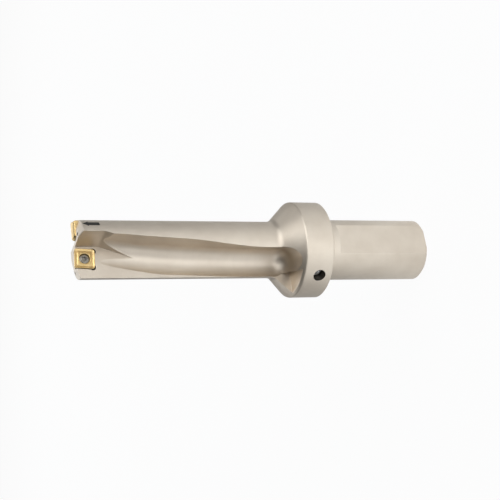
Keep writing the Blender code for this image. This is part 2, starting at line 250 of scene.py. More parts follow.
def skinned_solid(name: str, rings: list[Points]) -> Thing:
    """Skin rings of equal point counts and close both ends.

    Args:
        name: Name of the object.
        rings: Points of each ring, in the same order round.

    Returns:
        The closed solid.
    """
    count = len(rings[0])
    points = [point for ring in rings for point in ring]
    faces = [list(range(count)), list(range(len(points) - count, len(points)))]
    for row in range(len(rings) - 1):
        for i in range(count):
            a, b = row * count + i, row * count + (i + 1) % count
            faces += [[a, b, b + count], [a, b + count, a + count]]
    thing = drawn_mesh(name, points, faces)
    face_outwards(thing)
    return thing


def axis_place(start: Vector, along: Vector) -> Matrix:
    """Placement with its Z axis at a point, along a direction."""
    return Matrix.Translation(start) @ along.to_track_quat("Z", "Y").to_matrix().to_4x4()


def rod(name: str, start: Vector, end: Vector, radius: float, facets: int) -> Thing:
    """Make a plain round cutter from one point to another.

    Args:
        name: Name of the object.
        start: Middle of one end.
        end: Middle of the other end.
        radius: Its radius.
        facets: Number of sides.

    Returns:
        The cutter.
    """
    deselect()
    bpy.ops.mesh.primitive_cylinder_add(vertices=facets, radius=radius,
                                        depth=(end - start).length)
    return put(named(name), axis_place((start + end) / 2, end - start))


def mark_surface(thing: Thing, surface: Surface) -> Thing:
    """Give all faces of a mesh the slot of one surface, which a cut then carries over.

    Args:
        thing: The object with the mesh.
        surface: The surface.

    Returns:
        The same object.
    """
    while len(thing.data.materials) < len(Surface):
        thing.data.materials.append(None)
    thing.data.polygons.foreach_set("material_index", [surface] * len(thing.data.polygons))
    return thing


def modify(thing: Thing, kind: str, **settings: object) -> None:
    """Add a modifier to an object, set it and apply it.

    Args:
        thing: The object.
        kind: Type name of the modifier.
        **settings: Its properties.
    """
    modifier = thing.modifiers.new(kind.lower(), kind)
    for key, value in settings.items():
        setattr(modifier, key, value)
    activate(thing)
    bpy.ops.object.modifier_apply(modifier=modifier.name)


def carve(target: Thing, cutter: Thing) -> None:
    """Take a closed cutter away from a target, then remove the cutter."""
    modify(target, "BOOLEAN", operation="DIFFERENCE", solver="EXACT", material_mode="INDEX",
           object=cutter)
    bpy.data.objects.remove(cutter, do_unlink=True)


def shade(thing: Thing, angle: float) -> None:
    """Shade a piece smooth, apart from sharp edges and those between two surfaces.

    Args:
        thing: The piece.
        angle: Least angle of a sharp edge, in degrees.
    """
    activate(thing)
    bpy.ops.object.shade_smooth_by_angle(angle=math.radians(angle))
    start_editing(thing, "EDGE")
    pick(thing, lambda edge: len({face.material_index for face in edge.link_faces}) > 1,
         "edges")
    bpy.ops.mesh.mark_sharp()
    deselect()


def rounded_corner(corner: Pair, before: Pair, after: Pair, radius: float,
                   steps: int) -> list[Pair]:
    """Find the arc that rounds the corner between two straight lines.

    Args:
        corner: The sharp corner.
        before: A point on the line that comes in.
        after: A point on the line that goes out.
        radius: Radius of the arc.
        steps: Number of straight pieces in it.

    Returns:
        Points of the arc, from the line that comes in to the one that goes out.
    """
    middle = Vector(corner)
    back = (Vector(before) - middle).normalized()
    ahead = (Vector(after) - middle).normalized()
    half = back.angle(ahead) / 2
    centre = middle + (back + ahead).normalized() * radius / math.sin(half)
    start = middle + back * radius / math.tan(half) - centre
    end = middle + ahead * radius / math.tan(half) - centre
    sweep = start.angle(end)
    points = []
    for i in range(steps + 1):
        share = i / steps
        mix = start * math.sin((1 - share) * sweep) + end * math.sin(share * sweep)
        points.append(tuple(centre + mix / math.sin(sweep)))
    return points


def from_front(angle: float) -> Vector:
    """Direction across the drill, at an angle from -Y towards +X."""
    turn = math.radians(angle)
    return Vector((math.sin(turn), -math.cos(turn), 0.0))


def thread(radius: float, depth: float, low: float, pitch: float, turns: int,
           crest: float) -> list[Pair]:
    """Draw half the outline of a thread, upwards.

    Args:
        radius: Radius of its crests.
        depth: Depth of its roots.
        low: Height at which it starts.
        pitch: Height of one turn.
        turns: Number of turns.
        crest: Share of a turn that is crest, at each end of it.

    Returns:
        Radius and height of each corner.
    """
    return [(edge, low + pitch * (turn + share)) for turn in range(turns)
            for share, edge in ((crest, radius), (0.5, radius - depth), (1 - crest, radius))]


def press_socket(thing: Thing, corners: int, reach: Callable[[float], float],
                 depth: float) -> None:
    """Press a socket into the top of a screw that stands under z = 0.

    Args:
        thing: The screw.
        corners: Number of corners in the socket's outline.
        reach: Gives the outline's radius at an angle in radians.
        depth: Depth of the socket.
    """
    turns = [math.tau * i / corners for i in range(corners)]
    outline = [(reach(turn) * math.cos(turn), reach(turn) * math.sin(turn), -depth)
               for turn in turns]
    carve(thing, pushed_solid("socket", outline, Vector((0.0, 0.0, depth + BEYOND))))


class NodeSheet:
    """The node tree of one material, with the few nodes that the finishes share."""

    def __init__(self, name: str) -> None:
        """Start a material with a Principled shader and Object coordinates.

        Args:
            name: Name of the material.
        """
        self.material = bpy.data.materials.new(name)
        self.material.use_nodes = True
        self.tree = self.material.node_tree
        self.shader = self.tree.nodes["Principled BSDF"]
        self.place = self.add("TexCoord").outputs["Object"]

    def feed(self, node: bpy.types.Node, feeds: Feeds) -> None:
        """Link outputs to a node's inputs, or set its inputs to constants.

        Args:
            node: The node.
            feeds: What goes into each input, by its name or number.
        """
        for key, value in feeds.items():
            socket = node.inputs[key]
            if isinstance(value, Socket):
                self.tree.links.new(value, socket)
            else:
                socket.default_value = (*value, 1.0) if socket.type == "RGBA" else value

    def add(self, kind: str, feeds: Feeds | None = None, **settings: object) -> bpy.types.Node:
        """Add a node, set its properties and feed its inputs.

        Args:
            kind: Type name of the node, after ShaderNode.
            feeds: What goes into each input, by its name or number.
            **settings: Properties of the node.

        Returns:
            The new node.
        """
        node = self.tree.nodes.new(f"ShaderNode{kind}")
        for key, value in settings.items():
            setattr(node, key, value)
        self.feed(node, feeds or {})
        return node

    def noise(self, size: float, half: float, detail: float, lay: Lay = Lay.EVERY_WAY,
              shift: float = 0.0, low: float = 0.0, high: float = 1.0) -> Socket:
        """Make a noise of a given grain size.

        Args:
            size: Size of one grain across the marks, in metres.
            half: How far to each side of its middle value it is used, up to 0.5.
            detail: Number of finer layers in it.
            lay: How its grains are stretched.
            shift: Offset that keeps two noises apart.
            low: Least value that comes out.
            high: Greatest value that comes out.

        Returns:
            The noise.
        """
        mapping = self.add("Mapping", {"Vector": self.place, "Location": (shift, shift, shift),
                                       "Scale": [share / size for share in lay.value]})
        noise = self.add("TexNoise", {"Vector": mapping.outputs["Vector"], "Scale": 1.0,
                                      "Detail": detail}).outputs["Fac"]
        return self.spread(noise, 0.5 - half, 0.5 + half, low, high)

    def spread(self, value: Feed, low: float, high: float, to_low: float = 0.0,
               to_high: float = 1.0) -> Socket:
        """Map one range of a value to another, clamped.

        Args:
            value: The value.
            low: Lower end of its range.
            high: Upper end of its range.
            to_low: What the lower end becomes.
            to_high: What the upper end becomes.

        Returns:
            The mapped value.
        """
        return self.add("MapRange", {"Value": value, "From Min": low, "From Max": high,
                                     "To Min": to_low, "To Max": to_high}).outputs["Result"]

    def combine(self, operation: str, first: Feed, second: Feed) -> Socket:
        """Work out a number from two others, by an operation such as ADD."""
        return self.add("Math", {0: first, 1: second}, operation=operation).outputs[0]

    def mix(self, share: Feed, first: Feed, second: Feed) -> Socket:
        """Mix two colours, with a share of the second one."""
        return self.add("Mix", {"Factor": share, 6: first, 7: second},
                        data_type="RGBA").outputs[2]

    def edges(self, radius: float) -> tuple[Socket, Socket]:
        """Find where a piece has edges.

        Args:
            radius: Radius to which the edges are rounded.

        Returns:
            The rounded normal, and a mask that is 1 on the edges.
        """
        rounded = self.add("Bevel", {"Radius": radius}, samples=6).outputs["Normal"]
        plain = self.add("NewGeometry").outputs["Normal"]
        turn = self.add("VectorMath", {0: rounded, 1: plain}, operation="DOT_PRODUCT")
        return rounded, self.spread(turn.outputs["Value"], 0.995, 0.93)

    def bump(self, height: Feed, depth: float, normal: Socket) -> Socket:
        """Raise a surface by a pattern.

        Args:
            height: The pattern, from 0 to 1.
            depth: Height of the pattern, in metres.
            normal: Normal that it starts from.

        Returns:
            The new normal.
        """
        return self.add("Bump", {"Height": height, "Normal": normal, "Strength": 1.0,
                                 "Distance": depth}).outputs["Normal"]


@dataclass(frozen=True)
class MetalFinish:
    """A metal surface with grain, tool marks, uneven tone and worn edges."""

    name: str
    bright: Colour
    dull: Colour
    worn: Colour
    roughness: Pair
    grain_size: float = 0.00016
    grain_height: float = 0.0000035
    cloud_size: float = 0.012
    lay: Lay = Lay.EVERY_WAY
    mark_size: float = 0.0005
    mark_height: float = 0.0
    edge_radius: float = 0.00018
    edge_share: float = 0.6
    patch_size: float = 0.002
    pattern_share: float = 0.10

    def material(self) -> bpy.types.Material:
        """Build the finish's nodes.

        Returns:
            The material.
        """
        sheet = NodeSheet(self.name)
        cloud = sheet.noise(self.cloud_size, 0.18, 4.0, shift=3.1)
        grain = sheet.noise(self.grain_size, 0.25, 3.0)
        marks = sheet.noise(self.mark_size, 0.25, 3.0, self.lay, 7.7)
        patchy = sheet.noise(self.patch_size, 0.15, 3.0, shift=1.3, low=0.5)
        tone = sheet.mix(cloud, self.dull, self.bright)
        tone = sheet.mix(sheet.spread(grain, 0.0, 1.0, 0.0, self.pattern_share), tone, self.dull)
        tone = sheet.mix(sheet.spread(marks, 0.0, 1.0, self.pattern_share, 0.0), tone, self.dull)
        normal, edge = sheet.edges(self.edge_radius)
        worn = sheet.combine("MULTIPLY", sheet.combine("MULTIPLY", edge, patchy),
                             self.edge_share)
        rough = sheet.combine("ADD", sheet.combine("MULTIPLY", cloud, 0.5),
                              sheet.combine("MULTIPLY", marks, 0.5))
        normal = sheet.bump(grain, self.grain_height, normal)
        if self.mark_height > 0.0:
            normal = sheet.bump(marks, self.mark_height, normal)
        sheet.feed(sheet.shader, {
            "Metallic": 1.0, "Base Color": sheet.mix(worn, tone, self.worn), "Normal": normal,
            "Roughness": sheet.spread(rough, 0.0, 1.0, self.roughness[1], self.roughness[0])})
        return sheet.material


@dataclass(frozen=True)
class LaserMark:
    """The burnt dark oxide of a laser mark."""

    name: str = "laser_mark"
    dark: Colour = (0.012, 0.011, 0.010)
    pale: Colour = (0.045, 0.040, 0.034)
    roughness: Pair = (0.55, 0.75)
    burn_size: float = 0.0002
    line_size: float = 0.00006
    line_height: float = 0.000003

    def material(self) -> bpy.types.Material:
        """Build the mark's nodes.

        Returns:
            The material.
        """
        sheet = NodeSheet(self.name)
        burn = sheet.noise(self.burn_size, 0.2, 4.0)
        lines = sheet.noise(self.line_size, 0.2, 1.0, Lay.ROUND_THE_AXIS)
        normal = sheet.add("NewGeometry").outputs["Normal"]
        sheet.feed(sheet.shader, {
            "Base Color": sheet.mix(burn, self.dark, self.pale), "Specular IOR Level": 0.2,
            "Roughness": sheet.spread(lines, 0.0, 1.0, *self.roughness),
            "Normal": sheet.bump(lines, self.line_height, normal)})
        return sheet.material


# Bright, dull and worn nickel, and the finish of each kind of face of the body
NICKEL = ((0.67, 0.585, 0.48), (0.61, 0.525, 0.425), (0.84, 0.79, 0.72))
BODY_FINISHES = {
    surface: MetalFinish(f"satin_nickel_{surface.name.lower()}", *NICKEL, roughness,
                         grain_height=grain_height, lay=lay, mark_size=mark_size,
                         mark_height=mark_height)
    for surface, lay, roughness, grain_height, mark_size, mark_height in (
        (Surface.TURNED, Lay.ROUND_THE_AXIS, (0.46, 0.53), 0.0000035, 0.0003, 0.0000012),
        (Surface.GROUND, Lay.ROUND_THE_AXIS, (0.45, 0.52), 0.000002, 0.00012, 0.000001),
        (Surface.MILLED, Lay.ALONG_THE_AXIS, (0.46, 0.53), 0.0000035, 0.0004, 0.0000015),
        (Surface.GROOVE, Lay.ROUND_THE_AXIS, (0.44, 0.50), 0.0000035, 0.0009, 0.000002))}
# The bores get a dark colour, which is painted shade: it makes the holes, reliefs and coolant
# ways read black
BODY_FINISHES[Surface.BORE] = MetalFinish("bore_painted_shade", (0.24, 0.21, 0.175),
                                          (0.13, 0.115, 0.095), NICKEL[2], (0.45, 0.60))
COATING = MetalFinish("titanium_nitride_gold", (0.73, 0.53, 0.25), (0.61, 0.41, 0.165),
                      (0.93, 0.80, 0.50), (0.30, 0.42), grain_size=0.00009,
                      grain_height=0.000001, cloud_size=0.0025, mark_size=0.0002,
                      edge_radius=0.00012, edge_share=0.7)
SCREW_STEEL = MetalFinish("dark_screw_steel", (0.36, 0.33, 0.28), (0.20, 0.18, 0.15),
                          (0.60, 0.59, 0.56), (0.28, 0.40), grain_size=0.00008,
                          grain_height=0.000001, cloud_size=0.0012, mark_size=0.0002,
                          edge_radius=0.00010)
PLUG_STEEL = MetalFinish("bright_plug_steel", (0.74, 0.73, 0.71), (0.55, 0.54, 0.52),
                         (0.88, 0.87, 0.85), (0.24, 0.36), grain_size=0.0001,
                         grain_height=0.000001, cloud_size=0.0015, mark_size=0.0002,
                         edge_radius=0.00012)


def dress(thing: Thing, finish: MetalFinish, width: float, steps: int, above: float) -> Thing:
    """Break the edges of a small piece, give it its finish and shade it.

    Args:
        thing: The piece.
        finish: Its finish.
        width: Width of a broken edge.
        steps: Number of faces in it.
        above: Least angle of an edge that is broken, in degrees.

    Returns:
        The piece.
    """
    modify(thing, "BEVEL", width=width, segments=steps, limit_method="ANGLE",
           angle_limit=math.radians(above), harden_normals=False)
    thing.data.materials.clear()
    thing.data.materials.append(finish.material())
    shade(thing, SMALL_PIECE_SMOOTH)
    return thing


@dataclass
class Blank:
    """The turned blank of the body: shank, flange, cone and round stem."""

    shank_radius: float = 0.016
    shank_length: float = 0.060
    shank_chamfer: float = 0.0014
    flange_radius: float = 0.0252
    flange_length: float = 0.0153
    flange_chamfer: float = 0.0005
    flange_rounding: float = 0.0015
    cone_fillet: float = 0.006
    stem_radius: float = 0.0148
    head_length: float = 0.1295
    front_flat_radius: float = 0.010
    front_bevel: float = 18.5
    facets: int = 240
    stem_rings: int = 26
    shank_rings: int = 6
    rounding_steps: int = 8
    fillet_steps: int = 14

    @property
    def flange_front(self) -> float:
        """Height at which the flange ends and the cone starts."""
        return self.shank_length + self.flange_length

    @property
    def cone_front(self) -> float:
        """Height at which the cone ends and the stem starts."""
        return self.flange_front + self.flange_radius - self.stem_radius

    @property
    def front(self) -> float:
        """Height of the body's front face."""
        return self.shank_length + self.head_length

    def profile(self) -> list[Pair]:
        """Draw half the blank's outline, upwards.

        Returns:
            Radius and height of each corner.
        """
        bevel = math.tan(math.radians(self.front_bevel))
        shoulder = self.front - (self.stem_radius - self.front_flat_radius) * bevel
        rear = (self.flange_radius, self.shank_length + self.flange_chamfer)
        flange = (self.flange_radius, self.flange_front)
        cone = (self.stem_radius, self.cone_front)
        lower = rounded_corner(flange, rear, cone, self.flange_rounding, self.rounding_steps)
        upper = rounded_corner(cone, flange, (self.stem_radius, shoulder), self.cone_fillet,
                               self.fillet_steps)
        foot = upper[-1][1]
        shank = [(self.shank_radius, self.shank_length * i / self.shank_rings)
                 for i in range(1, self.shank_rings + 1)]
        stem = [(self.stem_radius, foot + (shoulder - foot) * i / self.stem_rings)
                for i in range(1, self.stem_rings)]
        return [(self.shank_radius - self.shank_chamfer, 0.0),
                (self.shank_radius, self.shank_chamfer), *shank,
                (self.flange_radius - self.flange_chamfer, self.shank_length), rear, *lower,
                *upper, *stem, (self.stem_radius, shoulder),
                (self.front_flat_radius, self.front)]

    def make(self) -> Thing:
        """Turn the blank, with its ground shank marked as such.

        Returns:
            The blank.
        """
        blank = mark_surface(turned_solid("body", self.profile(), self.facets), Surface.TURNED)
        for face in blank.data.polygons:
            if face.center.z < self.shank_length - TINY:
                face.material_index = Surface.GROUND
        return blank


@dataclass
class Insert:
    """Sizes of the square insert and of its screw, shared by both pockets."""

    size: float = 0.0103
    thickness: float = 0.0040
    corner_radius: float = 0.0012
    clearance: float = 11.0
    proud: float = 0.0007
    land: float = 0.0003
    groove_width: float = 0.0015
    groove_depth: float = 0.0003
    relief_radius: float = 0.0016
    relief_inset: float = 0.00095
    screw_radius: float = 0.00175
    head_radius: float = 0.0024
    head_sink: float = 0.0004
    head_rim: float = 0.0004
    head_cone: float = 0.0013
    screw_length: float = 0.0072
    socket_radius: float = 0.0013
    socket_depth: float = 0.0012

    def screw_outline(self, gap: float, length: float, above: float) -> list[Pair]:
        """Draw half the outline of the screw or of its hole, upwards.

        Args:
            gap: Clearance all round.
            length: Depth of its foot under the screw's top.
            above: How far it stands above the screw's top.

        Returns:
            Radius and height of each corner.
        """
        stem = self.screw_radius + gap
        head = self.head_radius + gap
        rim = -self.head_rim - gap
        return [(stem, -length), (stem, rim - self.head_cone), (head, rim), (head, above)]


@dataclass
class Flute:
    """One flute: pad, round groove that runs out at both ends, pocket and screw hole."""

    name: str
    turn: float
    insert_start: float
    insert_lead: float
    insert_turn: float
    wall_clearance: float
    run_out_from_tip: float
    blank: Blank
    insert: Insert
    pad_lean: float = 23.0
    pad_drop: float = 0.0008
    wall_lean: float = 8.85
    pocket_length: float = 0.0119
    pocket_splay: float = 19.4
    pocket_blend: float = 0.006
    pad_split: float = 0.070
    pad_front_edge: float = 0.0080
    pad_rear_edge: float = 0.0111
    pad_edge_by_ball: float = 0.0137
    pad_edge_at_end: float = 0.0119
    pad_end_beyond: float = 0.0007
    run_out: Station = (0.0119, 0.00609, 0.00820, 0.0090, -2.0, 14.0)
    by_tip: tuple[Station, ...] = (
        (0.0165, 0.00648, 0.00803, 0.0090, -2.4, 6.7),
        (0.0325, 0.00786, 0.00745, 0.0090, -4.7, -20.6),
        (0.0415, 0.00863, 0.00713, 0.0090, -3.2, -3.2),
        (0.0495, 0.00903, 0.00698, 0.0089, -3.0, -3.0),
    )
    rear_section: Station = (0.00978, 0.00531, 0.0079, 18.0, 18.0)
    rear_before_cone: float = 0.0057
    end_in_cone: float = 0.0007
    run_out_lift: float = 1.0
    run_out_shift: float = 0.33
    arc_points: int = 56
    end_step: int = 5
    blend_steps: int = 12
    corner_steps: int = 8
    wall_spots: tuple[float, ...] = (0.014, 0.0115, 0.0095, 0.0075, 0.0058, 0.0042, 0.0028,
                                     0.0014)
    ring_pitch: float = 0.0016

    @property
    def wall_start(self) -> float:
        """Place of the pocket's wall across the flute, beside the insert."""
        return self.insert_start - self.wall_clearance

    @property
    def place(self) -> Matrix:
        """Placement of the flute's frame, turned about the drill's axis.

        Returns:
            The placement: X is across the pad, Y up out of it, Z along the drill.
        """
        lean = math.radians(self.pad_lean)
        across = Vector((-math.cos(lean), -math.sin(lean), 0.0))
        up = Vector((math.sin(lean), -math.cos(lean), 0.0))
        axes = Matrix((across, up, Vector((0.0, 0.0, 1.0)))).transposed().to_4x4()
        return Matrix.Rotation(math.radians(self.turn), 4, "Z") @ axes

    @property
    def insert_top(self) -> float:
        """Height of the insert's rake face above the middle plane of the flute."""
        return self.insert.proud - self.pad_drop

    @property
    def insert_place(self) -> Matrix:
        """Placement of the middle of the insert's rake face.

        Returns:
            The placement: X is across, Y back to the shank, Z up out of the pad.
        """
        middle = Vector((self.insert_start + self.insert.size / 2, self.insert_top,
                         self.blank.front + self.insert_lead - self.insert.size / 2))
        axes = Matrix(((1, 0, 0), (0, 0, -1), (0, 1, 0))).transposed().to_4x4()
        swing = Matrix.Rotation(math.radians(-self.insert_turn), 4, "Y")
        return self.place @ Matrix.Translation(middle) @ swing @ axes

    @property
    def screw_place(self) -> Matrix:
        """Placement of the middle of the screw's top."""
        return self.insert_place @ Matrix.Translation((0.0, 0.0, -self.insert.head_sink))

    def stations(self) -> list[Station]:
        """List the groove's sections from the tip to the middle of its round end.

        Returns:
            Distance from the front, centre across, centre up, radius and two leans of each.
        """
        length = self.blank.front - self.blank.cone_front
        rear = [(length - self.rear_before_cone, *self.rear_section),
                (length + self.end_in_cone, *self.rear_section)]
        whole = [self.run_out, *self.by_tip, *rear]
        start = self.straight(whole, self.run_out_from_tip)
        lead = start[0] + BEYOND
        lifted = (-BEYOND, start[1] + lead * self.run_out_shift,
                  start[2] + lead * self.run_out_lift, *start[3:])
        return [lifted, start, *(s for s in whole if s[0] > start[0] + TINY)]

    @staticmethod
    def straight(stations: list[Station], distance: float) -> Station:
        """Section at a distance, on straight lines between the stations.

        Args:
            stations: The known sections.
            distance: Distance from the front.

        Returns:
            The section there.
        """
        for near, far in zip(stations, stations[1:]):
            if near[0] <= distance <= far[0]:
                share = (distance - near[0]) / (far[0] - near[0])
                return tuple(a + (b - a) * share for a, b in zip(near, far))
        return stations[-1]

    @staticmethod
    def slope(stations: list[Station], spot: int, column: int) -> float:
        """Slope of one value at a station, which never makes it swing past its neighbours.

        Args:
            stations: The known sections.
            spot: Number of the station.
            column: Number of the value.

        Returns:
            Its change for each metre.
        """
        sides = []
        for i in (spot - 1, spot):
            if 0 <= i < len(stations) - 1:
                near, far = stations[i], stations[i + 1]
                sides.append((far[column] - near[column]) / (far[0] - near[0]))
        if len(sides) == 1:
            return sides[0]
        if sides[0] * sides[1] <= 0.0:
            return 0.0
        return 2 * sides[0] * sides[1] / (sides[0] + sides[1])

    def eased(self, stations: list[Station], distance: float) -> Station:
        """Section at a distance, on smooth curves through the stations.

        Args:
            stations: The known sections.
            distance: Distance from the front.

        Returns:
            The section there, without its distance.
        """
        spot = max(i for i in range(len(stations) - 1) if stations[i][0] <= distance)
        near, far = stations[spot], stations[spot + 1]
        span = far[0] - near[0]
        t = (distance - near[0]) / span
        values = []
        for column in range(1, len(near)):
            leaving = self.slope(stations, spot, column) * span
            arriving = self.slope(stations, spot + 1, column) * span
            values.append((2 * t ** 3 - 3 * t ** 2 + 1) * near[column]
                          + (t ** 3 - 2 * t ** 2 + t) * leaving
                          + (3 * t ** 2 - 2 * t ** 3) * far[column]
                          + (t ** 3 - t ** 2) * arriving)
        return tuple(values)

    def section(self, height: float, values: Station) -> list[Point]:
        """Draw one cross-section of the groove cutter.

        Args:
            height: Its height along the drill.
            values: Centre across, centre up, radius, lean of the wall, lean of the arc's start.

        Returns:
            Points of the leaning wall, the round bottom and the outer side.
        """
        across, up, radius, wall_lean, arc_lean = values
        wall = math.radians(wall_lean)
        outer = math.radians(self.rear_section[3])
        first = math.radians(arc_lean)
        last = outer - math.pi
        arc = []
        for i in range(self.arc_points + 1):
            turn = first + (last - first) * i / self.arc_points
            arc.append((across - radius * math.cos(turn), up + radius * math.sin(turn)))
        rise = [(arc[0][0] + reach * math.sin(wall), arc[0][1] + reach * math.cos(wall))
                for reach in (REACH, *self.wall_spots)]
        side = (arc[-1][0] + REACH * math.sin(outer), arc[-1][1] + REACH * math.cos(outer))
        return [(x, y, height) for x, y in (*rise, *arc, side)]

    def groove(self) -> Thing:
        """Make the groove cutter: it runs out near the tip and ends round in the cone.

        Returns:
            The cutter.
        """
        stations = self.stations()
        rings = []
        for near, far in zip(stations, stations[1:]):
            steps = max(1, round((far[0] - near[0]) / self.ring_pitch))
            for i in range(steps):
                distance = near[0] + (far[0] - near[0]) * i / steps
                rings.append(self.section(self.blank.front - distance,
                                          self.eased(stations, distance)))
        distance, across, up, radius, wall, arc = stations[-1]
        for angle in range(0, 90, self.end_step):
            swing = math.radians(angle)
            height = self.blank.front - distance - radius * math.sin(swing)
            rings.append(self.section(height,
                                      (across, up, radius * math.cos(swing), wall, arc)))
        cutter = put(skinned_solid(f"{self.name}_groove", rings), self.place)
        return mark_surface(cutter, Surface.GROOVE)

    def pads(self) -> list[Thing]:
        """Make the pad cutters: by the insert, with a wall that splays out, and at the rear.

        Returns:
            The two cutters.
        """
        stations = self.stations()
        tip = self.blank.front + BEYOND
        knee = self.blank.front - self.pocket_length
        split = self.blank.front - self.pad_split
        splay = math.tan(math.radians(self.pocket_splay))
        far = knee - (self.pad_front_edge - self.wall_start) / splay
        ball = self.blank.front - stations[-1][0]
        end = ball - stations[-1][3] - self.pad_end_beyond
        corner = rounded_corner((self.wall_start, knee), (self.wall_start, tip),
                                (self.pad_front_edge, far), self.pocket_blend, self.blend_steps)
        fore = [(self.wall_start, tip), *corner, (self.pad_front_edge, far),
                (self.pad_front_edge, split), (REACH, split), (REACH, tip)]
        rear = [(self.pad_rear_edge, split + BEYOND), (self.pad_rear_edge, ball + BEYOND),
                (self.pad_edge_by_ball, ball - BEYOND), (self.pad_edge_at_end, end),
                (REACH, end), (REACH, split + BEYOND)]
        cutters = []
        for part, outline, lean in (("front", fore, -self.wall_lean),
                                    ("rear", rear, self.rear_section[3])):
            slope = math.radians(lean)
            rise = Vector((math.sin(slope), math.cos(slope), 0.0)) * REACH
            corners = [(across, -self.pad_drop, height) for across, height in outline]
            cutter = pushed_solid(f"{self.name}_pad_{part}", corners, rise)
            cutters.append(mark_surface(put(cutter, self.place), Surface.MILLED))
        return cutters

    def square_ring(self, up: float, inset: float, radius: float) -> list[Point]:
        """Draw the insert's rounded square at a height.

        Args:
            up: Height above the rake face.
            inset: How far it lies inside the insert's outline.
            radius: Radius of its corners.

        Returns:
            Points of the ring, in the frame of the rake face.
        """
        middle = self.insert.size / 2 - inset - radius
        points = []
        for x, y, first in ((middle, middle, 0), (-middle, middle, 90),
                            (-middle, -middle, 180), (middle, -middle, 270)):
            for i in range(self.corner_steps + 1):
                turn = math.radians(first + 90 * i / self.corner_steps)
                points.append((x + radius * math.cos(turn), y + radius * math.sin(turn), up))
        return points

    def pocket(self) -> list[Thing]:
        """Make the cutters of the insert's pocket, its corner reliefs and its screw hole.

        Returns:
            The cutters.
        """
        insert = self.insert
        relief = math.tan(math.radians(insert.clearance))
        floor = insert.thickness + SEAT_GAP
        rings = [self.square_ring(-floor, floor * relief - SEAT_GAP, insert.corner_radius / 2),
                 self.square_ring(BEYOND, -BEYOND * relief - SEAT_GAP,
                                  insert.corner_radius + SEAT_GAP)]
        seat = put(skinned_solid(f"{self.name}_pocket", rings), self.insert_place)
        cutters = [mark_surface(seat, Surface.MILLED)]
        corner = insert.size / 2 - insert.relief_inset
        for side in (-corner, corner):
            foot = self.insert_place @ Vector((side, corner, -floor - SEAT_GAP / 2))
            head = self.insert_place @ Vector((side, corner, BEYOND - self.insert_top))
            if math.hypot(head.x, head.y) + insert.relief_radius < self.blank.stem_radius:
                cut = rod(f"{self.name}_relief", foot, head, insert.relief_radius, BORE_FACETS)
                cutters.append(mark_surface(cut, Surface.BORE))
        hole = turned_solid(f"{self.name}_screw_hole", insert.screw_outline(
            SEAT_GAP, insert.screw_length + SEAT_GAP, BEYOND), BORE_FACETS)
        cutters.append(mark_surface(put(hole, self.screw_place), Surface.BORE))
        return cutters


